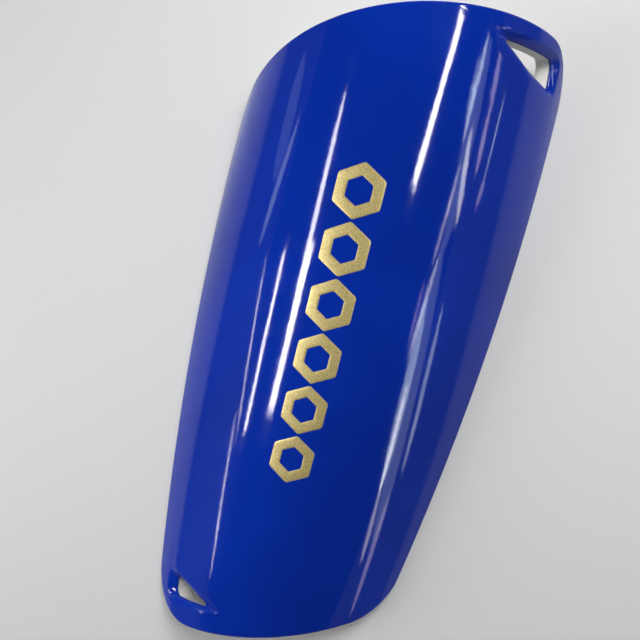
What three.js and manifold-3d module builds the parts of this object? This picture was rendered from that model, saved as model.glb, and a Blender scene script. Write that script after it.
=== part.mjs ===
// Slip-in shin guard: a bowed plastic shell with a foam liner, lying with its hollow side down.
// Millimetres. X runs across the shin, +Y along it to the wide end, +Z up through the crown.
import * as THREE from 'three';
import { mergeVertices } from 'three/addons/utils/BufferGeometryUtils.js';
import Module from 'manifold-3d';

// Arc sections of the outer face: half of the chord on the floor, and the height of the crown.
const HALF_LENGTH = 100;
const SECTIONS = {
  narrow: { halfWidth: 37, depth: 16 },
  middle: { halfWidth: 50.2, depth: 26.4 },
  wide: { halfWidth: 52.5, depth: 40 },
};

// Both ends are cut askew and bowed: shift of the edge at the rim, and its bend towards the middle.
const ENDS = {
  narrow: { crown: -HALF_LENGTH, slant: 12.2, bow: 5.2 },
  wide: { crown: HALF_LENGTH, slant: 17.6, bow: -8.5 },
};

// The corners that hold a window are drawn out and rounder than the other two.
const WINDOW_CORNER_RADIUS = 18;
const PLAIN_CORNER_RADIUS = 10.5;

// Layers from the outer face inwards. Depths are measured along the normal of the outer face.
const LAYER_GAP = 0.3;
const SHELL_THICKNESS = 2.2;
const FOAM_THICKNESS = 4;
const LAYERS = [
  {
    name: 'shell', depth: 0, thickness: SHELL_THICKNESS, trim: 0, outerBevel: 0.6, innerBevel: 0.3,
    windowMargin: 0, color: '#0a2ba0', roughness: 0.16, metalness: 0,
  },
  {
    name: 'foam_liner', depth: SHELL_THICKNESS + LAYER_GAP, thickness: FOAM_THICKNESS, trim: 0.5,
    outerBevel: 0.3, innerBevel: 1, windowMargin: 0.8, color: '#f3f2ec', roughness: 0.85, metalness: 0,
  },
];

// Three-cornered windows with bowed sides, on the outer face: distance round the arc from the crown,
// place along the shin, and the rounding of each corner. A wide rounding is the bend of a bowed side.
const WINDOWS = [
  [
    { around: 33, along: 99.5, radius: 0.5 },
    { around: 46.6, along: 95.1, radius: 25 },
    { around: 60.3, along: 94.3, radius: 1.4 },
    { around: 58.4, along: 103.2, radius: 2.8 },
    { around: 46.5, along: 101.5, radius: 25 },
  ],
  [
    { around: -16.4, along: -96.3, radius: 0.5 },
    { around: -25.4, along: -93.4, radius: 25 },
    { around: -33.6, along: -91.4, radius: 1.8 },
    { around: -33.2, along: -98.5, radius: 2.2 },
    { around: -25.2, along: -97.6, radius: 25 },
  ],
];
const WINDOW_CUT = { above: 6, below: 14 };
const CORNER_STEPS = 4;

// A window ends this far above the floor, so that the rim under it stays whole.
const RIM_LEDGE = 1.6;

// Facets of a layer.
const COLUMNS = 24;
const CORNER_ROWS = 5;
const MIDDLE_ROWS = 16;

const wasm = await Module();
wasm.setup();

// Smooth curve through the values at the narrow end, the middle and the wide end.
function throughStations(key, along) {
  const t = along / HALF_LENGTH;
  const { narrow, middle, wide } = SECTIONS;
  const rise = (wide[key] - narrow[key]) / 2;
  const bend = (wide[key] + narrow[key]) / 2 - middle[key];
  return middle[key] + rise * t + bend * t * t;
}

// Radius of the arc, height of its centre over the floor, and half angle of a layer down to the floor.
function arcAt(along, depth) {
  const halfWidth = throughStations('halfWidth', along);
  const crown = throughStations('depth', along);
  const radius = (halfWidth * halfWidth + crown * crown) / (2 * crown);
  const centre = crown - radius;
  const halfAngle = Math.acos(-centre / (radius - depth));
  return { radius: radius - depth, centre, halfAngle };
}

function pointOnArc(angle, along, depth) {
  const { radius, centre } = arcAt(along, depth);
  return new THREE.Vector3(radius * Math.sin(angle), along, centre + radius * Math.cos(angle));
}

// Width taken off one side by a rounded corner, at a distance from the end of the sheet.
function cornerCut(fromEnd, radius) {
  if (fromEnd >= radius) return 0;
  return radius - Math.sqrt(radius * radius - (radius - fromEnd) ** 2);
}

function endLine(end, across) {
  return end.crown + end.slant * across + end.bow * across * across;
}

// Rows of the sheet, as distances from the narrow end, closer together in the rounded corners.
function rowDistances() {
  const corner = [];
  for (let k = 0; k <= CORNER_ROWS; k += 1) {
    corner.push(WINDOW_CORNER_RADIUS * (1 - Math.cos((k / CORNER_ROWS) * (Math.PI / 2))));
  }
  const middle = [];
  const span = 2 * (HALF_LENGTH - WINDOW_CORNER_RADIUS);
  for (let k = 1; k < MIDDLE_ROWS; k += 1) middle.push(WINDOW_CORNER_RADIUS + (span * k) / MIDDLE_ROWS);
  const far = corner.map((distance) => 2 * HALF_LENGTH - distance).reverse();
  return [...corner, ...middle, ...far];
}
const ROWS = rowDistances();

// One point of a sheet at a depth, with its outline drawn in by an inset.
function sheetPoint(row, column, depth, inset) {
  const fromNarrow = ROWS[row];
  const fromWide = 2 * HALF_LENGTH - fromNarrow;
  const plain = arcAt(fromNarrow - HALF_LENGTH, depth);
  const halfArc = plain.radius * plain.halfAngle;
  const right = cornerCut(fromWide, WINDOW_CORNER_RADIUS) + cornerCut(fromNarrow, PLAIN_CORNER_RADIUS);
  const left = cornerCut(fromWide, PLAIN_CORNER_RADIUS) + cornerCut(fromNarrow, WINDOW_CORNER_RADIUS);
  const from = -1 + (left + inset) / halfArc;
  const to = 1 - (right + inset) / halfArc;
  const across = from + ((to - from) * column) / COLUMNS;
  const narrowLine = endLine(ENDS.narrow, across) + inset;
  const wideLine = endLine(ENDS.wide, across) - inset;
  const along = narrowLine + ((wideLine - narrowLine) * fromNarrow) / (2 * HALF_LENGTH);
  return pointOnArc(across * arcAt(along, depth).halfAngle, along, depth);
}

// Row and column of the points round the outline, anticlockwise seen from above.
function outlineCells() {
  const last = ROWS.length - 1;
  const cells = [];
  for (let c = 0; c < COLUMNS; c += 1) cells.push([0, c]);
  for (let r = 0; r < last; r += 1) cells.push([r, COLUMNS]);
  for (let c = COLUMNS; c > 0; c -= 1) cells.push([last, c]);
  for (let r = last; r > 0; r -= 1) cells.push([r, 0]);
  return cells;
}

// Closed sheet: outer face, bevelled rim in three bands, inner face.
function sheetGeometry(layer) {
  const { depth, thickness, trim, outerBevel, innerBevel } = layer;
  const positions = [];
  const indices = [];
  const perRow = COLUMNS + 1;
  const cells = outlineCells();
  const addPoint = (point) => {
    positions.push(point.x, point.y, point.z);
    return positions.length / 3 - 1;
  };
  const addFace = (faceDepth, inset, outward) => {
    const start = positions.length / 3;
    for (let r = 0; r < ROWS.length; r += 1) {
      for (let c = 0; c <= COLUMNS; c += 1) addPoint(sheetPoint(r, c, faceDepth, inset));
    }
    for (let r = 0; r < ROWS.length - 1; r += 1) {
      for (let c = 0; c < COLUMNS; c += 1) {
        const a = start + r * perRow + c;
        const quad = [a, a + 1, a + 1 + perRow, a + perRow];
        if (!outward) quad.reverse();
        indices.push(quad[0], quad[1], quad[2], quad[0], quad[2], quad[3]);
      }
    }
    return cells.map(([r, c]) => start + r * perRow + c);
  };
  const addRing = (ringDepth) => cells.map(([r, c]) => addPoint(sheetPoint(r, c, ringDepth, trim)));
  const bands = [
    addFace(depth, trim + outerBevel, true),
    addRing(depth + outerBevel),
    addRing(depth + thickness - innerBevel),
    addFace(depth + thickness, trim + innerBevel, false),
  ];
  for (let b = 0; b < bands.length - 1; b += 1) {
    for (let k = 0; k < cells.length; k += 1) {
      const next = (k + 1) % cells.length;
      indices.push(bands[b][k], bands[b + 1][k], bands[b + 1][next]);
      indices.push(bands[b][k], bands[b + 1][next], bands[b][next]);
    }
  }
  const geometry = new THREE.BufferGeometry();
  geometry.setAttribute('position', new THREE.Float32BufferAttribute(positions, 3));
  geometry.setIndex(indices);
  return geometry;
}

// Outline of a window about its centre: straight sides and round corners, grown by a margin.
function windowShape(tips, radii, margin, centre) {
  const shape = new THREE.Shape();
  const count = tips.length;
  tips.forEach((tip, k) => {
    const before = tips[(k + count - 1) % count].clone().sub(tip).normalize();
    const after = tips[(k + 1) % count].clone().sub(tip).normalize();
    const inward = before.clone().add(after).normalize();
    const halfAngle = Math.acos(before.dot(after)) / 2;
    const hub = tip.clone().sub(centre).addScaledVector(inward, radii[k] / Math.sin(halfAngle));
    const facing = inward.angle() + Math.PI;
    const spread = Math.PI / 2 - halfAngle;
    shape.absarc(hub.x, hub.y, radii[k] + margin, facing - spread, facing + spread, false);
  });
  shape.closePath();
  return shape;
}

// Prism through the sheet, square to the outer face at the middle of the window.
function windowCutter(corners, margin) {
  const tips = corners.map((corner) => new THREE.Vector2(corner.around, corner.along));
  const radii = corners.map((corner) => corner.radius);
  const centre = new THREE.Vector2();
  tips.forEach((tip) => centre.addScaledVector(tip, 1 / tips.length));
  const onFace = (around, along) => pointOnArc(around / arcAt(along, 0).radius, along, 0);
  const middle = onFace(centre.x, centre.y);
  const across = onFace(centre.x + 1, centre.y).sub(onFace(centre.x - 1, centre.y)).normalize();
  const lengthwise = onFace(centre.x, centre.y + 1).sub(onFace(centre.x, centre.y - 1));
  const normal = across.clone().cross(lengthwise).normalize();
  const upright = normal.clone().cross(across);
  const geometry = new THREE.ExtrudeGeometry(windowShape(tips, radii, margin, centre), {
    depth: WINDOW_CUT.above + WINDOW_CUT.below, bevelEnabled: false, curveSegments: CORNER_STEPS,
  });
  geometry.translate(0, 0, -WINDOW_CUT.below);
  const frame = new THREE.Matrix4().makeBasis(across, upright, normal).setPosition(middle);
  return geometry.applyMatrix4(frame);
}

function toSolid(geometry) {
  const bare = geometry.clone();
  bare.deleteAttribute('normal');
  bare.deleteAttribute('uv');
  const merged = mergeVertices(bare, 1e-4);
  return new wasm.Manifold(new wasm.Mesh({
    numProp: 3,
    vertProperties: new Float32Array(merged.attributes.position.array),
    triVerts: new Uint32Array(merged.index.array),
  }));
}

function toGeometry(solid) {
  const { vertProperties, triVerts } = solid.getMesh();
  const geometry = new THREE.BufferGeometry();
  geometry.setAttribute('position', new THREE.BufferAttribute(vertProperties, 3));
  geometry.setIndex(new THREE.BufferAttribute(triVerts, 1));
  geometry.computeVertexNormals();
  return geometry;
}

function layerMesh(layer) {
  let solid = toSolid(sheetGeometry(layer));
  WINDOWS.forEach((corners) => {
    const cutter = toSolid(windowCutter(corners, layer.windowMargin));
    solid = solid.subtract(cutter.trimByPlane([0, 0, 1], RIM_LEDGE));
  });
  const { color, roughness, metalness } = layer;
  const mesh = new THREE.Mesh(
    toGeometry(solid),
    new THREE.MeshStandardMaterial({ color, roughness, metalness }),
  );
  mesh.name = layer.name;
  return mesh;
}

// The origin is under the middle of the whole, on the floor.
const group = new THREE.Group();
group.name = 'shin_guard';
LAYERS.forEach((layer) => group.add(layerMesh(layer)));
const box = new THREE.Box3().setFromObject(group);
const middle = box.getCenter(new THREE.Vector3());
group.children.forEach((mesh) => mesh.position.set(-middle.x, -middle.y, -box.min.z));

export default group;
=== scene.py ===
"""Slip-in shin guard: glossy shell, foam liner and gold print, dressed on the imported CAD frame."""
import math

import bpy
import numpy as np
from bpy.props import FloatProperty, FloatVectorProperty, IntProperty, PointerProperty
from mathutils import Matrix, Vector


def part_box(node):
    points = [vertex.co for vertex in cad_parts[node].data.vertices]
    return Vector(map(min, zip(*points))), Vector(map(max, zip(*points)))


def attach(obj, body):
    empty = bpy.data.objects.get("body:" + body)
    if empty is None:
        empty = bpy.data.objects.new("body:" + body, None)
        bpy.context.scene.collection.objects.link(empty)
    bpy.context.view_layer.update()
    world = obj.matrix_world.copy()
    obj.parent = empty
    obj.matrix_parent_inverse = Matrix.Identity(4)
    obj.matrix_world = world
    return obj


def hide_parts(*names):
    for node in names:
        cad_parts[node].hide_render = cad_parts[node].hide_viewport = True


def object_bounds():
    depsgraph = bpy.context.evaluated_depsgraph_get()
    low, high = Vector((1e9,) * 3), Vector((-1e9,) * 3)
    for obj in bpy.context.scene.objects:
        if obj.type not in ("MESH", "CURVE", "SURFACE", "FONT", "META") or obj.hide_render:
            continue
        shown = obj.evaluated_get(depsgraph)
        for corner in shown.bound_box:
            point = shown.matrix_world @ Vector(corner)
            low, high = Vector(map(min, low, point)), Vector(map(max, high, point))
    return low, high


bl_info = {
    "name": "Shin guard",
    "version": (1, 0, 0),
    "blender": (4, 5, 0),
    "location": "View3D > Sidebar > Shin guard",
    "description": "Builds a slip-in shin guard with a foam liner on its CAD frame",
    "category": "Object",
}

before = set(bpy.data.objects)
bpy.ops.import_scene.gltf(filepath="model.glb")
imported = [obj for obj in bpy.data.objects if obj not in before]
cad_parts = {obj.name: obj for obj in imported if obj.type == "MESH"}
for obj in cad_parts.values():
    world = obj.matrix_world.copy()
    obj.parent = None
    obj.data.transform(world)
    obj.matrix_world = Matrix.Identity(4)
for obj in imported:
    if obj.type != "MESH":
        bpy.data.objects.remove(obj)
CAD_LOW, CAD_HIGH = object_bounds()


def length(name, description, default):
    """A length that the user may change."""
    return FloatProperty(name=name, description=description, default=default, unit="LENGTH",
                         subtype="DISTANCE", precision=4)


def colour(name, description, default):
    """A linear colour that the user may change."""
    return FloatVectorProperty(name=name, description=description, default=default, size=3,
                               min=0.0, max=1.0, subtype="COLOR")


def share(name, description, default):
    """A plain number from nought to one."""
    return FloatProperty(name=name, description=description, default=default, min=0.0, max=1.0,
                         subtype="FACTOR")


def corners(name, description, default):
    """Corners of a window's edge: distance round the arc, place along the shin, rounding. The
    first, third and fourth are true corners, the others the bends of the two long sides."""
    return FloatVectorProperty(name=name, description=description, default=default, size=(5, 3),
                               unit="LENGTH", precision=4)


class GuardSizes(bpy.types.PropertyGroup):
    """Sizes of the guard, in metres."""
    half_length: length("Half length", "Half of the crown line", 0.1)
    narrow_half_width: length("Narrow half width", "Half chord at the narrow end", 0.037)
    narrow_depth: length("Narrow depth", "Height of the crown at the narrow end", 0.016)
    middle_half_width: length("Middle half width", "Half chord at the middle", 0.0502)
    middle_depth: length("Middle depth", "Height of the crown at the middle", 0.0264)
    wide_half_width: length("Wide half width", "Half chord at the wide end", 0.0525)
    wide_depth: length("Wide depth", "Height of the crown at the wide end", 0.04)
    narrow_slant: length("Narrow slant", "Shift of the narrow edge at the rim", 0.0122)
    narrow_bow: length("Narrow bow", "Bend of the narrow edge", 0.0052)
    wide_slant: length("Wide slant", "Shift of the wide edge at the rim", 0.0176)
    wide_bow: length("Wide bow", "Bend of the wide edge", -0.0085)
    window_corner: length("Window corner", "Radius of the corners with a window", 0.018)
    plain_corner: length("Plain corner", "Radius of the other two corners", 0.0105)
    shell_thickness: length("Shell thickness", "Wall of the plastic shell", 0.0022)
    layer_gap: length("Layer gap", "Clearance between shell and liner", 0.0003)
    foam_thickness: length("Foam thickness", "Wall of the foam liner", 0.004)
    foam_trim: length("Foam trim", "Setback of the liner from the shell's edge", 0.0005)
    wide_window: corners(
        "Wide window", "Opening at the wide end",
        ((0.033, 0.0995, 0.0005), (0.0466, 0.0951, 0.025), (0.0603, 0.0943, 0.0014),
         (0.0584, 0.1032, 0.0028), (0.0465, 0.1015, 0.025)))
    wide_lip: corners(
        "Wide lip", "Outer edge of the rolled lip round the wide window",
        ((0.0234, 0.1003, 0.0015), (0.0459, 0.0928, 0.025), (0.0618, 0.0918, 0.003),
         (0.0606, 0.1055, 0.0048), (0.0462, 0.1038, 0.025)))
    narrow_window: corners(
        "Narrow window", "Opening at the narrow end",
        ((-0.0164, -0.0963, 0.0005), (-0.0254, -0.0934, 0.025), (-0.0336, -0.0914, 0.0018),
         (-0.0332, -0.0985, 0.0022), (-0.0252, -0.0976, 0.025)))
    narrow_lip: corners(
        "Narrow lip", "Outer edge of the rolled lip round the narrow window",
        ((-0.0092, -0.0955, 0.0008), (-0.0237, -0.091, 0.025), (-0.0358, -0.0891, 0.0032),
         (-0.0352, -0.101, 0.004), (-0.0235, -0.0995, 0.025)))
    wide_lean: share("Wide lean", "How far the walls of the wide window lean with the rim", 0.85)
    narrow_lean: share("Narrow lean", "How far the walls of the narrow window lean with the rim", 0.7)
    lip_depth: length("Lip depth", "How far the rolled lips go down", 0.0018)
    foam_margin: length("Foam margin", "Setback of the foam round a window", 0.0008)
    shell_round: length("Shell round", "Rounding of the shell's outer edge", 0.0009)
    fine_round: length("Fine round", "Rounding of the edges where the layers meet", 0.0003)
    foam_round: length("Foam round", "Rounding of the foam's inner edge", 0.001)
    foam_window_round: length("Foam window round", "The same round a window", 0.0008)
    foam_wave: length("Foam wave", "Height of one slow wave in the foam", 0.00005)
    print_length: length("Print length", "Length of the gold motif along the crown", 0.101)
    print_shift: length("Print shift", "From the crown's middle to the motif's, to the wide end", 0.0025)
    print_widest: length("Print widest", "Width of its largest ring", 0.0152)
    print_narrowest: length("Print narrowest", "Width of its smallest ring", 0.0132)
    print_band: share("Print band", "Band of a ring as a share of its width", 0.235)
    print_sink: length("Print sink", "How far the ink goes into the shell", 0.00006)
    print_height: length("Print height", "How far the ink stands out", 0.000045)
    print_rings: IntProperty(name="Print rings", description="Rings in the gold motif",
                             default=6, min=2, max=12)


class GuardFinish(bpy.types.PropertyGroup):
    """Colours and gloss of the guard."""
    shell_blue: colour("Shell blue", "Body colour of the plastic", (0.0012, 0.0265, 0.355))
    shell_deep_blue: colour("Shell deep blue", "Darker drift in the plastic", (0.001, 0.0205, 0.285))
    foam_white: colour("Foam white", "Body colour of the foam", (0.86, 0.855, 0.81))
    foam_shade: colour("Foam shade", "Duller drift in the foam", (0.78, 0.765, 0.70))
    print_gold: colour("Print gold", "Bright grain of the gold ink", (0.58, 0.47, 0.19))
    print_dull_gold: colour("Print dull gold", "Dark grain of the gold ink", (0.36, 0.285, 0.105))
    print_metal: share("Print metal", "How metallic the gold ink is", 0.45)


class GuardStage(bpy.types.PropertyGroup):
    """Floor, light and camera."""
    floor_colour: colour("Floor colour", "Pale floor", (0.7, 0.7, 0.7))
    floor_gap: length("Floor gap", "How far the floor lies under the object", 0.0004)
    floor_radius: length("Floor radius", "Flat part of the floor", 1.15)
    sweep_radius: length("Sweep radius", "Bend from the floor to the wall", 0.45)
    wall_height: length("Wall height", "Top of the wall", 0.9)
    world_light: share("World light", "Strength of the dim surroundings", 0.06)
    light_distance: length("Light distance", "From a highlight on the shell to its light", 0.6)
    camera_place: FloatVectorProperty(
        name="Camera place", description="Where the camera stands", size=3, unit="LENGTH",
        subtype="TRANSLATION", precision=4, default=(0.03536, -0.00235, 0.24606))
    camera_right: FloatVectorProperty(
        name="Camera right", description="Direction to the right of the picture", size=3,
        subtype="DIRECTION", precision=4, default=(0.9522, 0.2621, -0.1568))
    camera_up: FloatVectorProperty(
        name="Camera up", description="Direction to the top of the picture", size=3,
        subtype="DIRECTION", precision=4, default=(-0.2551, 0.9648, 0.0639))
    camera_lens: FloatProperty(name="Camera lens", description="Focal length in millimetres",
                               default=40.772, min=10.0, subtype="DISTANCE_CAMERA")
    camera_near: length("Camera near", "Nearest distance that the camera sees", 0.01)


# Steps of the sheets: across, along a rounded corner and between the corners, from the grid to a
# window, round an edge, down a lip and round a bend of a window's outline.
COLUMNS = 112
CORNER_ROWS = 20
MIDDLE_ROWS = 132
SPREAD_RINGS = 6
ROUND_STEPS = 6
LIP_STEPS = 16
BEND_STEPS = 12

# Power of the curve of a lip: 1 is a bevel and 2 an ellipse.
LIP_POWER = 1.25

# Rounds in which a window's outline is brought onto the arc, and the step that gives directions.
MEETING_ROUNDS = 12
SMALL_STEP = 1e-4

# Block of the grid that gives way to a window. Distances from the guard's end to the row nearest
# to it, the row that faces the window's third corner and the last row; then the share of the
# width where the block ends.
WIDE_BLOCK = {"near": 0.0002, "turn": 0.0036, "far": 0.0225, "across": 0.645}
NARROW_BLOCK = {"near": 0.001, "turn": 0.0055, "far": 0.0215, "across": 0.435}

# Waves in the foam: turn for each metre along, turn for each radian round, turn at the start.
FOAM_WAVES = ((38.0, 2.1, 0.0), (71.0, -3.3, 1.0), (-23.0, 5.2, 2.0))

# A ring of the print: its flats, its steps round, and the power that keeps its corners sharp.
RING_FLATS = 6
RING_STEPS = 120
RING_POWER = 40

# Section of the ink, from the outer edge of a ring to the inner one: share of the band's width,
# height as a share of the ink's height. Both ends are then carried down into the shell.
INK_SECTION = ((1.0, 4 / 9), (0.985, 8 / 9), (0.75, 1.0), (0.5, 1.0), (0.25, 1.0), (0.015, 8 / 9),
               (0.0, 4 / 9))


def unit(vectors):
    """Vectors of length one."""
    return vectors / np.linalg.norm(vectors, axis=-1, keepdims=True)


def through_stations(sizes, key, along):
    """Parabola through the values at the narrow end, the middle and the wide end."""
    narrow, middle, wide = (getattr(sizes, f"{place}_{key}") for place in ("narrow", "middle", "wide"))
    t = along / sizes.half_length
    return middle + (wide - narrow) / 2 * t + ((wide + narrow) / 2 - middle) * t * t


def arc_at(sizes, along, depth):
    """Radius of the arc at a depth, height of its centre, half angle down to the floor.
    The radius follows from the half chord a and the crown height h as (a*a + h*h) / 2h."""
    half_width = through_stations(sizes, "half_width", along)
    crown = through_stations(sizes, "depth", along)
    radius = (half_width**2 + crown**2) / (2 * crown)
    centre = crown - radius
    return radius - depth, centre, np.arccos(np.clip(-centre / (radius - depth), -1.0, 1.0))


def on_arc(sizes, angle, along, depth):
    """Point at an angle from the crown on the arc of that place and depth."""
    radius, centre, _ = arc_at(sizes, along, depth)
    return np.stack([radius * np.sin(angle), along, centre + radius * np.cos(angle)], axis=-1)


def face_directions(sizes, around, along):
    """Point of the outer face at a distance round the arc from the crown, the direction across
    the shin there and the normal, from small steps to all sides."""
    steps = SMALL_STEP * np.array([[1, -1, 0, 0, 0], [0, 0, 1, -1, 0]])
    around, along = np.array([[around], [along]]) + steps
    near = on_arc(sizes, around / arc_at(sizes, along, 0.0)[0], along, 0.0)
    across = unit(near[0] - near[1])
    return near[4], across, unit(np.cross(across, near[2] - near[3]))


def corner_cut(from_end, radius):
    """Width that a rounded corner takes off one side: r - sqrt(r*r - (r - d)*(r - d))."""
    inside = np.clip(radius - from_end, 0.0, radius)
    return radius - np.sqrt(radius**2 - inside**2)


def row_distances(sizes):
    """Rows as distances from the narrow end, close together in the rounded corners."""
    radius, whole = sizes.window_corner, 2 * sizes.half_length
    corner = radius * (1 - np.cos(np.linspace(0.0, math.pi / 2, CORNER_ROWS + 1)))
    middle = np.linspace(radius, whole - radius, MIDDLE_ROWS + 1)[1:-1]
    return np.concatenate([corner, middle, whole - corner[::-1]])


def row_span(sizes, to_narrow, depth, inset):
    """Both ends of a row as shares of the half angle: the rims, less rounded corners and inset."""
    to_wide = 2 * sizes.half_length - to_narrow
    radius, _, half_angle = arc_at(sizes, to_narrow - sizes.half_length, depth)
    right = corner_cut(to_wide, sizes.window_corner) + corner_cut(to_narrow, sizes.plain_corner)
    left = corner_cut(to_wide, sizes.plain_corner) + corner_cut(to_narrow, sizes.window_corner)
    half_arc = radius * half_angle
    return -1 + (left + inset) / half_arc, 1 - (right + inset) / half_arc


def end_lines(sizes, across, inset):
    """Places of the two ends: a slant and a bow added to the crown's end, less the inset."""
    narrow = -sizes.half_length + sizes.narrow_slant * across + sizes.narrow_bow * across**2
    wide = sizes.half_length + sizes.wide_slant * across + sizes.wide_bow * across**2
    return narrow + inset, wide - inset


def sheet_spot(sizes, to_narrow, part, depth, inset):
    """Angle and place of a point of a sheet, from its row and its part of the row's width. The
    place is carried from the narrow end to the wide one in proportion to the row."""
    start, stop = row_span(sizes, to_narrow, depth, inset)
    across = start + (stop - start) * part
    narrow, wide = end_lines(sizes, across, inset)
    along = narrow + (wide - narrow) * to_narrow / (2 * sizes.half_length)
    return across * arc_at(sizes, along, depth)[2], along


def spot_of(sizes, angle, along):
    """Row and part of a point of the outer face: the way back from its angle and place."""
    across = angle / arc_at(sizes, along, 0.0)[2]
    narrow, wide = end_lines(sizes, across, 0.0)
    to_narrow = 2 * sizes.half_length * (along - narrow) / (wide - narrow)
    start, stop = row_span(sizes, to_narrow, 0.0, 0.0)
    return to_narrow, (across - start) / (stop - start)


def sheet_grid(sizes, depth, inset):
    """Angle and place of a face on a grid of rows along the shin and columns across it."""
    parts = np.linspace(0.0, 1.0, COLUMNS + 1)
    return sheet_spot(sizes, row_distances(sizes)[:, None], parts[None, :], depth, inset)


def border(grid):
    """The edge of a grid as one loop, anticlockwise seen from outside."""
    return np.concatenate([grid[0, :-1], grid[:-1, -1], grid[-1, :0:-1], grid[:0:-1, 0]])


def rounded_wall(first, last, outer_round, inner_round):
    """Setback and depth of an edge from the outer face to the inner one: a quarter circle, a
    straight wall and another quarter circle."""
    turn = np.linspace(0.0, math.pi / 2, ROUND_STEPS + 1)
    outer = np.stack([outer_round * (1 - np.sin(turn)), first + outer_round * (1 - np.cos(turn))], -1)
    inner = np.stack([inner_round * (1 - np.cos(turn)), last - inner_round * (1 - np.sin(turn))], -1)
    return np.concatenate([outer, inner])


def plain_wall(first, last, margin, outer_round, inner_round):
    """Rows of a plain window wall: share of the lip, growth of the opening, depth."""
    setback, depth = rounded_wall(first, last, outer_round, inner_round).T
    return np.stack([np.zeros_like(depth), margin + setback, depth], axis=-1)


def lipped_wall(last, lip_depth, rounding):
    """Rows of a window wall with a rolled lip: share of the lip, growth of the opening, depth.
    The lip is a quarter of the curve x**p + y**p = 1, between a bevel and an ellipse. It leaves
    the face flat and ends upright, and a short rounded wall follows."""
    turn = np.linspace(0.0, math.pi / 2, LIP_STEPS + 1)
    lip = np.stack([1 - np.sin(turn)**(2 / LIP_POWER), np.zeros_like(turn),
                    lip_depth * (1 - np.cos(turn)**(2 / LIP_POWER))], axis=-1)
    return np.concatenate([lip, plain_wall(lip_depth, last, 0.0, 0.0, rounding)[ROUND_STEPS + 1:]])


def window_sides(corner_rows, grow):
    """The three sides of a window's edge as dense lines. Each runs from the middle of one true
    corner to the middle of the next, round the bend between them; growing adds to each rounding."""
    tips, radii = corner_rows[:, :2], corner_rows[:, 2]
    before = unit(np.roll(tips, 1, axis=0) - tips)
    after = unit(np.roll(tips, -1, axis=0) - tips)
    inward = unit(before + after)
    half = np.arccos(np.sum(before * after, axis=1)) / 2
    hubs = tips + inward * (radii / np.sin(half))[:, None]
    facing = np.arctan2(inward[:, 1], inward[:, 0]) + math.pi
    spread = math.pi / 2 - half

    def bend(corner, start, stop):
        turn = facing[corner] + spread[corner] * np.linspace(start, stop, BEND_STEPS + 1)
        return hubs[corner] + (radii[corner] + grow) * np.stack([np.cos(turn), np.sin(turn)], -1)

    return [np.concatenate([bend(0, 0, 1), bend(1, -1, 1), bend(2, -1, 0)]),
            np.concatenate([bend(2, 0, 1), bend(3, -1, 0)]),
            np.concatenate([bend(3, 0, 1), bend(4, -1, 1), bend(0, -1, 0)])]


def window_loop(sides, shares):
    """Points on the three sides of a window, at shares of each side's length."""
    picked = []
    for line, share_of_side in zip(sides, shares):
        run = np.concatenate([[0.0], np.cumsum(np.linalg.norm(np.diff(line, axis=0), axis=1))])
        at = share_of_side * run[-1]
        picked.append(np.stack([np.interp(at, run, line[:, 0]), np.interp(at, run, line[:, 1])], -1))
    return np.concatenate(picked)


class Window:
    """A three-cornered window that goes through a sheet square to its face at the middle. Its rows
    and columns bound the block of the grid that it replaces, and turn_row faces its third corner."""

    def __init__(self, sizes, opening, lip, lean, rows, turn_row, columns):
        self.sizes = sizes
        self.opening, self.lip = (np.array(edge, dtype=float).reshape(5, 3) for edge in (opening, lip))
        self.centre = self.opening[:, :2].mean(axis=0)
        self.side = np.sign(self.centre[0])
        self.lean, self.rows, self.turn_row, self.columns = lean, rows, turn_row, columns
        self.middle, self.across, self.normal = face_directions(sizes, *self.centre)
        self.upright = np.cross(self.normal, self.across)

    def block(self, grid):
        """The loop of grid points round the window, from the one that faces its first corner."""
        (low, high), (first, last) = self.rows, self.columns
        tall, broad = high - low, last - first
        start = 2 * broad + 2 * tall - tall // 2 if self.side > 0 else broad + tall // 2
        return np.roll(border(grid[low:high + 1, first:last + 1]), -start, axis=0)

    def shares(self, loop):
        """Shares of the window's three sides at which the points of a loop round it belong."""
        (low, high), (first, last) = self.rows, self.columns
        tall, broad = high - low, last - first
        near = tall // 2 if self.side > 0 else tall - tall // 2
        far = self.turn_row - low if self.side > 0 else high - self.turn_row
        steps = np.linalg.norm(np.roll(loop, -1, axis=0) - loop, axis=1)
        parts = np.split(steps, np.cumsum([near + broad, far]))
        return [np.cumsum(np.concatenate([[0.0], part]))[:-1] / part.sum() for part in parts]

    def outline(self, shares, lip_share, grow):
        """Points on the plane at the middle: the opening moved towards the lip, both grown."""
        opening = window_loop(window_sides(self.opening, grow), shares)
        lip = window_loop(window_sides(self.lip, grow), shares)
        return opening + lip_share * (lip - opening) - self.centre

    def straight_ring(self, outline, depth):
        """Angle and place of the window's edge at a depth. The outline on the plane is moved
        along the plane's normal until it meets the arc at that depth."""
        base = self.middle + outline[:, :1] * self.across + outline[:, 1:] * self.upright
        travel = np.zeros(len(outline))
        for _ in range(MEETING_ROUNDS):
            point = base + travel[:, None] * self.normal
            radius, centre, _ = arc_at(self.sizes, point[:, 1], 0.0)
            travel += radius - np.hypot(point[:, 0], point[:, 2] - centre) - depth
        return np.stack([np.arctan2(point[:, 0], point[:, 2] - centre), point[:, 1]])

    def ring(self, outline, depth, inset):
        """The window's edge at a depth, between the straight one and one that keeps its row and
        part of the sheet, and so leans as the rim does and stays clear of it. The lean sets in
        over the shell's thickness."""
        spot = spot_of(self.sizes, *self.straight_ring(outline, 0.0))
        leaning = np.stack(sheet_spot(self.sizes, *spot, depth, inset))
        lean = self.lean * min(depth / self.sizes.shell_thickness, 1.0)
        return (1 - lean) * self.straight_ring(outline, depth) + lean * leaning


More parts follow.
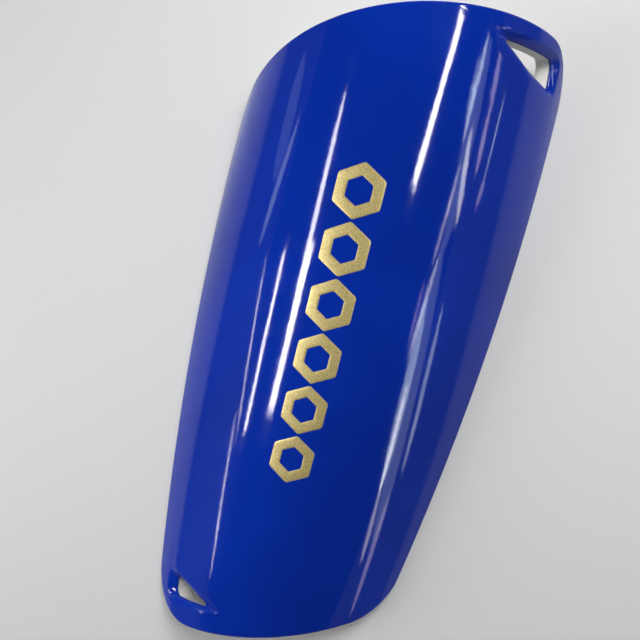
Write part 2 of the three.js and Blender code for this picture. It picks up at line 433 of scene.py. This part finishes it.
def windows_of(sizes):
    """Both windows with the blocks of the grid that they replace."""
    rows = row_distances(sizes)
    whole = 2 * sizes.half_length

    def row_at(distance):
        return int(np.argmin(np.abs(rows - distance)))

    near, turn, far = (row_at(whole - WIDE_BLOCK[key]) for key in ("near", "turn", "far"))
    wide = Window(sizes, sizes.wide_window, sizes.wide_lip, sizes.wide_lean, (far, near), turn,
                  (int(WIDE_BLOCK["across"] * COLUMNS), COLUMNS - 1))
    near, turn, far = (row_at(NARROW_BLOCK[key]) for key in ("near", "turn", "far"))
    narrow = Window(sizes, sizes.narrow_window, sizes.narrow_lip, sizes.narrow_lean, (near, far), turn,
                    (1, int(NARROW_BLOCK["across"] * COLUMNS)))
    return wide, narrow


def loop_faces(first, second):
    """Quads between two loops of indices, facing out when the first lies round the second."""
    return np.stack([first, np.roll(first, -1), np.roll(second, -1), second], axis=-1)


def sheet_mesh(sizes, first, last, trim, edges, wall, inner_relief=None):
    """Closed sheet between two depths: outer face, inner face, rounded rim and window walls.
    The faces are grids; round each window a block of the grid gives way to rings that pass
    linearly, in angle and place, from the block's loop to the window's edge. The trim sets the
    rim back from the guard's own edge, edges are the roundings of the rim's outer and inner edge,
    wall holds the rows of the window walls, and inner_relief adds depth to the inner face."""
    points, faces = [], []
    count = 0

    def add(block):
        """Puts a block of points into the mesh and gives their indices."""
        nonlocal count
        flat = block.reshape(-1, 3)
        points.append(flat)
        count += len(flat)
        return np.arange(count - len(flat), count).reshape(block.shape[:-1])

    def add_inner(angle, along):
        """The same for points of the inner face."""
        relief = inner_relief(angle, along) if inner_relief else 0.0
        return add(on_arc(sizes, angle, along, last + relief))

    def between(loop, edge, amount):
        """Angle and place on the way from a loop to a window's edge."""
        return [(1 - amount) * start + amount * stop for start, stop in zip(loop, edge)]

    def kept_quads(ids):
        """Faces of a grid, without the blocks of the windows."""
        return np.stack([ids[:-1, :-1], ids[:-1, 1:], ids[1:, 1:], ids[1:, :-1]], -1)[keep]

    outer = sheet_grid(sizes, first, trim + edges[0])
    inner = sheet_grid(sizes, last, trim + edges[1])
    outer_ids = add(on_arc(sizes, *outer, first))
    inner_ids = add_inner(*inner)
    windows = windows_of(sizes)
    keep = np.ones((outer_ids.shape[0] - 1, outer_ids.shape[1] - 1), bool)
    for window in windows:
        keep[window.rows[0]:window.rows[1], window.columns[0]:window.columns[1]] = False
    faces += [kept_quads(outer_ids), kept_quads(inner_ids)[:, ::-1]]

    rim = rounded_wall(first, last, *edges)[1:-1]
    rings = [border(outer_ids)]
    for setback, depth in rim:
        angle, along = sheet_grid(sizes, depth, trim + setback)
        rings.append(add(border(on_arc(sizes, angle, along, depth))))
    rings.append(border(inner_ids))
    faces += [loop_faces(ring, after)[:, ::-1] for ring, after in zip(rings, rings[1:])]

    for window in windows:
        block = [window.block(part) for part in outer]
        far_block = [window.block(part) for part in inner]
        shares = window.shares(on_arc(sizes, *block, first))
        insets = trim + np.interp(wall[:, 2], (first, last), edges)
        edge = [window.ring(window.outline(shares, lip_share, grow), depth, inset)
                for (lip_share, grow, depth), inset in zip(wall, insets)]
        mix = np.linspace(0.0, 1.0, SPREAD_RINGS + 1)[1:-1]
        rings = [window.block(outer_ids)]
        rings += [add(on_arc(sizes, *between(block, edge[0], amount), first)) for amount in mix]
        rings += [add(on_arc(sizes, angle, along, depth))
                  for (angle, along), depth in zip(edge[:-1], wall[:, 2])]
        rings.append(add_inner(*edge[-1]))
        rings += [add_inner(*between(far_block, edge[-1], amount)) for amount in mix[::-1]]
        rings.append(window.block(inner_ids))
        faces += [loop_faces(ring, after) for ring, after in zip(rings, rings[1:])]

    used, faces = np.unique(np.concatenate(faces), return_inverse=True)
    return np.concatenate(points)[used], faces.reshape(-1, 4)


def add_piece(name, points, faces, material):
    """A smooth mesh object at the origin, riding on the frame's one body."""
    mesh = bpy.data.meshes.new(name)
    mesh.from_pydata(points.tolist(), [], faces.tolist())
    mesh.validate()
    mesh.shade_smooth()
    mesh.materials.append(material)
    piece = bpy.data.objects.new(name, mesh)
    bpy.context.scene.collection.objects.link(piece)
    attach(piece, "root")
    return piece


class Nodes:
    """Shorthand for a material's node tree."""

    def __init__(self, name):
        self.material = bpy.data.materials.new(name)
        self.material.use_nodes = True
        self.tree = self.material.node_tree
        self.shader = self.tree.nodes["Principled BSDF"]
        self.object_space = self.tree.nodes.new("ShaderNodeTexCoord").outputs["Object"]

    def add(self, kind, inputs=None, **settings):
        """A node with its settings, values and links."""
        node = self.tree.nodes.new(kind)
        for key, value in settings.items():
            setattr(node, key, value)
        for key, value in (inputs or {}).items():
            if isinstance(value, bpy.types.NodeSocket):
                self.tree.links.new(value, node.inputs[key])
            else:
                node.inputs[key].default_value = value
        return node

    def stretched(self, scale):
        """Object coordinates scaled along each axis."""
        return self.add("ShaderNodeMapping", {"Vector": self.object_space, "Scale": scale}).outputs[0]

    def noise(self, scale, detail=2.0, vector=None):
        """Noise with so many features to the metre."""
        inputs = {"Vector": vector or self.object_space, "Scale": scale, "Detail": detail}
        return self.add("ShaderNodeTexNoise", inputs).outputs["Fac"]

    def ranged(self, value, given, wanted):
        """A value carried from one range to another."""
        inputs = {"Value": value, "From Min": given[0], "From Max": given[1],
                  "To Min": wanted[0], "To Max": wanted[1]}
        return self.add("ShaderNodeMapRange", inputs).outputs["Result"]

    def blend(self, amount, first, second):
        """A colour between two."""
        node = self.add("ShaderNodeMix", data_type="RGBA")
        self.tree.links.new(amount, node.inputs["Factor"])
        node.inputs["A"].default_value = (*first, 1.0)
        node.inputs["B"].default_value = (*second, 1.0)
        return node.outputs["Result"]

    def bump(self, height, distance, below=None):
        """A bump of so many metres on top of another."""
        inputs = {"Height": height, "Distance": distance, "Strength": 1.0}
        if below is not None:
            inputs["Normal"] = below
        return self.add("ShaderNodeBump", inputs).outputs["Normal"]

    def feed(self, **sockets):
        """Links or sets the shader's sockets, with spaces for underscores."""
        for key, value in sockets.items():
            socket = self.shader.inputs[key.replace("_", " ")]
            if isinstance(value, bpy.types.NodeSocket):
                self.tree.links.new(value, socket)
            else:
                socket.default_value = value
        return self.material


def shell_plastic(finish):
    """Glossy moulded plastic: blue with a slow drift, faint ripples and hairline scuffs."""
    nodes = Nodes("shell_plastic")
    drift = nodes.ranged(nodes.noise(scale=22.0), given=(0.35, 0.65), wanted=(0.0, 1.0))
    hairlines = nodes.noise(scale=1.0, detail=3.0, vector=nodes.stretched(scale=(1400.0, 45.0, 1400.0)))
    scuffs = nodes.ranged(hairlines, given=(0.6, 0.8), wanted=(0.0, 0.06))
    haze = nodes.ranged(nodes.noise(scale=130.0, detail=3.0), given=(0.3, 0.75), wanted=(0.045, 0.08))
    rough = nodes.add("ShaderNodeMath", {0: haze, 1: scuffs}, operation="ADD").outputs[0]
    waves = nodes.noise(scale=1.0, detail=1.0, vector=nodes.stretched(scale=(95.0, 28.0, 95.0)))
    ripple = nodes.bump(waves, distance=0.00004)
    peel = nodes.bump(nodes.noise(scale=520.0, detail=1.0), distance=0.000006, below=ripple)
    return nodes.feed(Base_Color=nodes.blend(drift, finish.shell_blue, finish.shell_deep_blue),
                      Roughness=rough, Normal=peel, Specular_IOR_Level=0.3)


def liner_foam(finish):
    """Matte closed-cell foam: off-white, mottled, with fine cells and a soft unevenness."""
    nodes = Nodes("liner_foam")
    mottle = nodes.ranged(nodes.noise(scale=36.0, detail=5.0), given=(0.38, 0.7), wanted=(0.0, 0.75))
    cells = nodes.add("ShaderNodeTexVoronoi", {"Vector": nodes.object_space, "Scale": 1500.0},
                      feature="SMOOTH_F1").outputs["Distance"]
    swell = nodes.bump(nodes.noise(scale=70.0), distance=0.00025)
    pores = nodes.bump(cells, distance=0.00005, below=swell)
    grain = nodes.bump(nodes.noise(scale=3800.0, detail=3.0), distance=0.00002, below=pores)
    rough = nodes.ranged(nodes.noise(scale=900.0), given=(0.3, 0.7), wanted=(0.78, 0.92))
    return nodes.feed(Base_Color=nodes.blend(mottle, finish.foam_white, finish.foam_shade),
                      Roughness=rough, Normal=grain, Specular_IOR_Level=0.3)


def gold_ink(finish):
    """Gold ink: metal flakes in a binder, as fine bright and dull grains."""
    nodes = Nodes("gold_ink")
    flakes = nodes.ranged(nodes.noise(scale=2600.0, detail=4.0), given=(0.36, 0.64), wanted=(0.0, 1.0))
    rough = nodes.ranged(nodes.noise(scale=1700.0), given=(0.3, 0.7), wanted=(0.34, 0.52))
    grain = nodes.bump(nodes.noise(scale=3000.0), distance=0.000012)
    return nodes.feed(Base_Color=nodes.blend(flakes, finish.print_dull_gold, finish.print_gold),
                      Roughness=rough, Normal=grain, Metallic=finish.print_metal)


def pale_floor(stage):
    """Plain pale floor with a faint tone."""
    nodes = Nodes("pale_floor")
    pale = np.array(stage.floor_colour)
    shade = FLOOR_SHADE * pale
    tone = nodes.ranged(nodes.noise(scale=3.0), given=(0.3, 0.7), wanted=(0.0, 1.0))
    return nodes.feed(Base_Color=nodes.blend(tone, pale, shade), Roughness=0.7)


class SHINGUARD_OT_shell(bpy.types.Operator):
    """Make the glossy plastic shell"""
    bl_idname = "shin_guard.shell"
    bl_label = "Plastic shell"

    def execute(self, context):
        sizes = context.scene.shin_guard_sizes
        points, faces = sheet_mesh(
            sizes, 0.0, sizes.shell_thickness, 0.0, (sizes.shell_round, sizes.fine_round),
            lipped_wall(sizes.shell_thickness, sizes.lip_depth, sizes.fine_round))
        shell = add_piece("plastic_shell", centred(points), faces,
                          shell_plastic(context.scene.shin_guard_finish))
        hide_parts("shell")
        return {"FINISHED"}


class SHINGUARD_OT_liner(bpy.types.Operator):
    """Make the foam liner"""
    bl_idname = "shin_guard.foam_liner"
    bl_label = "Foam liner"

    def execute(self, context):
        sizes = context.scene.shin_guard_sizes
        first = sizes.shell_thickness + sizes.layer_gap
        last = first + sizes.foam_thickness
        points, faces = sheet_mesh(
            sizes, first, last, sizes.foam_trim, (sizes.fine_round, sizes.foam_round),
            plain_wall(first, last, sizes.foam_margin, sizes.fine_round, sizes.foam_window_round),
            lambda angle, along: foam_relief(sizes, angle, along))
        liner = add_piece("foam_sheet", centred(points), faces,
                          liner_foam(context.scene.shin_guard_finish))
        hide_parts("foam_liner")
        return {"FINISHED"}


def foam_relief(sizes, angle, along):
    """Slow waves in the pressed foam, as a sum of sines, in metres of depth."""
    waves = [np.sin(by_place * along + by_angle * angle + start)
             for by_place, by_angle, start in FOAM_WAVES]
    return sizes.foam_wave * sum(waves)


def centred(points):
    """Points moved so that the frame's origin is under the middle of the shell's outline."""
    sizes = bpy.context.scene.shin_guard_sizes
    widest = sizes.shell_round
    outline = on_arc(sizes, *sheet_grid(sizes, widest, 0.0), widest).reshape(-1, 3)
    middle = (outline.min(axis=0) + outline.max(axis=0)) / 2
    low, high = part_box("shell")
    target = (np.array(low) + np.array(high)) / 2
    return points + np.array([target[0] - middle[0], target[1] - middle[1], 0.0])


class SHINGUARD_OT_print(bpy.types.Operator):
    """Make the gold motif along the crown"""
    bl_idname = "shin_guard.gold_print"
    bl_label = "Gold print"

    def execute(self, context):
        sizes = context.scene.shin_guard_sizes
        points, faces = print_mesh(sizes)
        motif = add_piece("gold_rings", centred(points), faces,
                          gold_ink(context.scene.shin_guard_finish))
        if len(motif.data.polygons) == 0:
            raise RuntimeError("the gold motif has no faces")
        return {"FINISHED"}


def print_mesh(sizes):
    """Rings with flats in a row on the crown, each smaller than the one before. A ring's radius in
    a direction is its half width over the soft largest cosine to its flats; a thin closed section,
    sunk a little into the shell, is carried round it."""
    rings = sizes.print_rings
    width = np.linspace(sizes.print_widest, sizes.print_narrowest, rings)
    height = width / math.cos(math.pi / RING_FLATS)
    space = (sizes.print_length - height.sum()) / (rings - 1)
    top = sizes.print_length / 2 + sizes.print_shift
    place = top - np.cumsum(height) + height / 2 - space * np.arange(rings)
    turn = np.linspace(0.0, 2 * math.pi, RING_STEPS, endpoint=False)
    flats = np.linspace(0.0, 2 * math.pi, RING_FLATS, endpoint=False)
    cosines = np.clip(np.cos(turn[:, None] - flats), 0.0, None)
    soft = np.sum(cosines**RING_POWER, axis=1)**(1 / RING_POWER)
    part, raised = np.array(INK_SECTION).T
    part = np.pad(part, 1, mode="edge")
    depth = np.pad(-sizes.print_height * raised, 1, constant_values=sizes.print_sink)
    band = sizes.print_band * width
    reach = (width[:, None] / 2 - band[:, None] * (1 - part))[:, None, :] / soft[None, :, None]
    around = reach * np.cos(turn)[None, :, None]
    along = place[:, None, None] + reach * np.sin(turn)[None, :, None]
    angle = around / arc_at(sizes, along, 0.0)[0]
    points = on_arc(sizes, angle, along, np.broadcast_to(depth, along.shape))
    ids = np.arange(points.size // 3).reshape(points.shape[:-1])
    ahead, beside = np.roll(ids, -1, axis=1), np.roll(ids, -1, axis=2)
    both = np.roll(ahead, -1, axis=2)
    return points.reshape(-1, 3), np.stack([ids, ahead, both, beside], axis=-1).reshape(-1, 4)


WHITE = (1.0, 1.0, 1.0)
ICE = (0.78, 0.94, 1.0)
LILAC = (0.95, 0.8, 1.0)

# Highlights with square ends: where each starts and stops on the shell, as distance round the arc
# and place along the shin, then its light's width, radiance and colour.
STRIPS = (
    ((0.017, 0.102), (0.0155, 0.0495), 0.036, 52.0, WHITE),
    ((-0.0105, 0.0255), (-0.0105, -0.0275), 0.040, 52.0, WHITE),
    ((-0.019, 0.0215), (-0.0175, -0.0365), 0.020, 42.0, WHITE),
)

# Highlights with tapered ends, in the same columns: five on the left side, then the right side.
STREAKS = (
    ((-0.0115, 0.072), (-0.011, -0.0085), 0.032, 34.0, WHITE),
    ((-0.0255, 0.0185), (-0.02, -0.04), 0.009, 22.0, WHITE),
    ((-0.0225, -0.0315), (-0.017, -0.0855), 0.012, 20.0, WHITE),
    ((-0.0255, 0.063), (-0.0295, 0.022), 0.036, 3.6, ICE),
    ((-0.03, 0.082), (-0.029, 0.043), 0.09, 1.0, ICE),
    ((0.0265, 0.0975), (0.027, 0.0665), 0.024, 16.0, ICE),
    ((0.0255, 0.0905), (0.0265, 0.0725), 0.034, 6.0, ICE),
    ((0.0315, 0.095), (0.0335, 0.078), 0.034, 7.0, LILAC),
    ((0.033, 0.0785), (0.034, 0.059), 0.030, 8.0, LILAC),
    ((0.037, 0.0835), (0.0375, 0.0585), 0.013, 9.0, ICE),
    ((0.0285, 0.0705), (0.032, 0.043), 0.028, 16.0, WHITE),
    ((0.028, 0.06), (0.028, 0.0445), 0.016, 10.0, WHITE),
    ((0.028, 0.0515), (0.0275, 0.0295), 0.018, 9.0, WHITE),
    ((0.038, 0.0585), (0.037, 0.05), 0.022, 6.0, LILAC),
    ((0.029, 0.0315), (0.0275, 0.0005), 0.024, 11.0, WHITE),
    ((0.0285, 0.019), (0.03, -0.043), 0.056, 9.0, ICE),
    ((0.0295, -0.008), (0.03, -0.0435), 0.022, 18.0, WHITE),
    ((0.0345, 0.0185), (0.036, -0.0355), 0.026, 8.0, ICE),
    ((0.0265, 0.023), (0.0265, 0.0035), 0.014, 6.0, LILAC),
    ((0.03, -0.04), (0.03, -0.067), 0.024, 8.0, WHITE),
    ((0.0335, -0.044), (0.0315, -0.0845), 0.030, 5.0, LILAC),
    ((0.0275, 0.0965), (0.03, 0.0345), 0.080, 2.2, ICE),
    ((0.029, 0.0385), (0.0325, -0.061), 0.080, 2.2, ICE),
)

# Soft lights that face the object, over its wide end and on its left: place, side, radiance of the
# same light with no grid on it, spread that its grid leaves, in degrees.
SOFT_LIGHTS = (
    ((0.1, 0.28, 0.4), 0.3, 7.6, 180.0),
    ((-0.45, -0.2, 0.22), 0.3, 1.9, 90.0),
)

# Lights over the object that face the wall round it: place, facing, side, radiance.
WALL_LIGHTS = (
    ((0.25, 0.0, 1.6), (1.0, 0.0, 0.0), 0.8, 4.0),
    ((-0.25, 0.0, 1.6), (-1.0, 0.0, 0.0), 0.8, 2.0),
    ((0.0, 0.3, 1.6), (0.0, 1.0, 0.0), 0.8, 4.0),
    ((0.0, -0.3, 1.6), (0.0, -1.0, 0.0), 0.8, 4.0),
)


class SHINGUARD_OT_stage(bpy.types.Operator):
    """Set the floor, the lights and the camera"""
    bl_idname = "shin_guard.stage"
    bl_label = "Stage"

    def execute(self, context):
        sizes, stage = context.scene.shin_guard_sizes, context.scene.shin_guard_stage
        add_floor(stage)
        for shape, rows in (("RECTANGLE", STRIPS), ("ELLIPSE", STREAKS)):
            for start, stop, *light in rows:
                ends = (mirror_place(sizes, stage, spot) for spot in (start, stop))
                add_strip(*ends, *light, shape)
        for row in SOFT_LIGHTS:
            add_soft_light(*row)
        for row in WALL_LIGHTS:
            add_wall_light(*row)
        world = bpy.data.worlds.new("studio")
        world.use_nodes = True
        background = world.node_tree.nodes["Background"]
        background.inputs["Color"].default_value = (*WHITE, 1.0)
        background.inputs["Strength"].default_value = stage.world_light
        context.scene.world = world
        context.scene.view_settings.view_transform = "Standard"
        add_camera(stage)
        return {"FINISHED"}


# The floor's duller tone as a share of its own, its inner rings where it is flat, and the steps of
# its bend and of a whole turn.
FLOOR_SHADE = 0.97
FLOOR_RINGS = (0.02, 0.3, 0.7)
SWEEP_STEPS = 12
FLOOR_TURN_STEPS = 96


def add_floor(stage):
    """A floor that bends up into a round wall: a disc, a quarter circle and an upright, turned
    about the Z axis. It lies just under the object."""
    bend = np.linspace(0.0, math.pi / 2, SWEEP_STEPS + 1)
    radius = np.concatenate([FLOOR_RINGS, stage.floor_radius + stage.sweep_radius * np.sin(bend),
                             [stage.floor_radius + stage.sweep_radius]])
    height = np.concatenate([np.zeros(len(FLOOR_RINGS)), stage.sweep_radius * (1 - np.cos(bend)),
                             [stage.wall_height]])
    turn = np.linspace(0.0, 2 * math.pi, FLOOR_TURN_STEPS, endpoint=False)
    rings = np.stack([np.outer(radius, np.cos(turn)), np.outer(radius, np.sin(turn)),
                      np.outer(height, np.ones_like(turn))], axis=-1)
    points = np.concatenate([rings.reshape(-1, 3), np.zeros((1, 3))])
    points[:, 2] -= stage.floor_gap
    ids = np.arange(radius.size * turn.size).reshape(radius.size, turn.size)
    faces = np.concatenate([loop_faces(ring, after)[:, ::-1] for ring, after in zip(ids, ids[1:])])
    centre = np.full(turn.size, ids.size)
    fan = np.stack([ids[0], np.roll(ids[0], -1), centre], axis=-1)
    mesh = bpy.data.meshes.new("studio_floor")
    mesh.from_pydata(points.tolist(), [], faces.tolist() + fan.tolist())
    mesh.shade_smooth()
    mesh.materials.append(pale_floor(stage))
    floor = bpy.data.objects.new("studio_floor", mesh)
    bpy.context.scene.collection.objects.link(floor)


def add_area(name, place, facing, right, size, radiance, tint, shape="RECTANGLE"):
    """A flat light that faces one way, with its long side along another. Its power is its radiance
    times pi times its area, which for an ellipse is pi / 4 of the box round it."""
    light = bpy.data.lights.new(name, "AREA")
    light.shape = shape
    light.size, light.size_y = size
    fill = math.pi / 4 if shape == "ELLIPSE" else 1.0
    light.energy = radiance * math.pi * fill * size[0] * size[1]
    light.color = tint
    back = -facing.normalized()
    right = (right - right.dot(back) * back).normalized()
    turn = Matrix((right, back.cross(right), back)).transposed().to_4x4()
    lamp = bpy.data.objects.new(name, light)
    lamp.matrix_world = Matrix.Translation(place) @ turn
    lamp.visible_camera = False
    bpy.context.scene.collection.objects.link(lamp)
    return lamp


def mirror_place(sizes, stage, spot):
    """Where a light stands that the camera sees mirrored at a spot of the shell. The ray d from
    the camera to the spot goes on as d - 2 (d . n) n about the normal n, for the lights' distance."""
    point, _, normal = face_directions(sizes, *spot)
    point = centred(point)
    ray = unit(point - np.array(stage.camera_place))
    return Vector(point + stage.light_distance * (ray - 2 * np.dot(ray, normal) * normal))


def to_object(place):
    """The direction from a place to the middle of the object."""
    return (Vector(CAD_LOW) + Vector(CAD_HIGH)) / 2 - place


def add_strip(start, stop, width, radiance, tint, shape):
    """A narrow light between two points that faces the object and shows in its gloss alone."""
    place = (start + stop) / 2
    size = ((stop - start).length, width)
    lamp = add_area("strip", place, to_object(place), stop - start, size, radiance, tint, shape)
    lamp.visible_diffuse = False


def add_soft_light(place, side, radiance, spread):
    """A square light that faces the object and is kept out of its gloss."""
    place = Vector(place)
    facing = to_object(place)
    lamp = add_area("soft_light", place, facing, level_across(facing), (side, side), radiance, WHITE)
    lamp.data.spread = math.radians(spread)
    lamp.visible_glossy = False


def add_wall_light(place, facing, side, radiance):
    """A square light that faces one way."""
    facing = Vector(facing)
    add_area("wall_light", Vector(place), facing, level_across(facing), (side, side), radiance, WHITE)


def level_across(facing):
    """The level direction square to the one that a light faces."""
    return facing.cross(Vector((0.0, 0.0, 1.0)))


def add_camera(stage):
    """The camera, from its place and the directions of the picture."""
    right, up = Vector(stage.camera_right).normalized(), Vector(stage.camera_up)
    back = right.cross(up).normalized()
    turn = Matrix((right, back.cross(right), back)).transposed().to_4x4()
    data = bpy.data.cameras.new("camera")
    data.lens = stage.camera_lens
    data.clip_start = stage.camera_near
    camera = bpy.data.objects.new("camera", data)
    camera.matrix_world = Matrix.Translation(stage.camera_place) @ turn
    bpy.context.scene.collection.objects.link(camera)
    bpy.context.scene.camera = camera


class SHINGUARD_PT_panel(bpy.types.Panel):
    """Lists the sizes, the finishes and the steps"""
    bl_idname = "SHINGUARD_PT_panel"
    bl_label = "Shin guard"
    bl_space_type = "VIEW_3D"
    bl_region_type = "UI"
    bl_category = "Shin guard"

    def draw(self, context):
        scene = context.scene
        for step in STEPS:
            self.layout.operator(step.bl_idname)
        for group in (scene.shin_guard_sizes, scene.shin_guard_finish, scene.shin_guard_stage):
            box = self.layout.box()
            for key in group.__annotations__:
                box.prop(group, key)


STEPS = (SHINGUARD_OT_shell, SHINGUARD_OT_liner, SHINGUARD_OT_print, SHINGUARD_OT_stage)
CLASSES = (GuardSizes, GuardFinish, GuardStage, *STEPS, SHINGUARD_PT_panel)


def register():
    """Adds the classes and their values to Blender."""
    for cls in CLASSES:
        bpy.utils.register_class(cls)
    bpy.types.Scene.shin_guard_sizes = PointerProperty(type=GuardSizes)
    bpy.types.Scene.shin_guard_finish = PointerProperty(type=GuardFinish)
    bpy.types.Scene.shin_guard_stage = PointerProperty(type=GuardStage)


def unregister():
    """Takes the values and the classes out again."""
    del bpy.types.Scene.shin_guard_stage
    del bpy.types.Scene.shin_guard_finish
    del bpy.types.Scene.shin_guard_sizes
    for cls in reversed(CLASSES):
        bpy.utils.unregister_class(cls)


def main():
    """Makes the pieces and the stage."""
    register()
    bpy.ops.shin_guard.shell()
    bpy.ops.shin_guard.foam_liner()
    bpy.ops.shin_guard.gold_print()
    bpy.ops.shin_guard.stage()


if __name__ == "__main__":
    main()
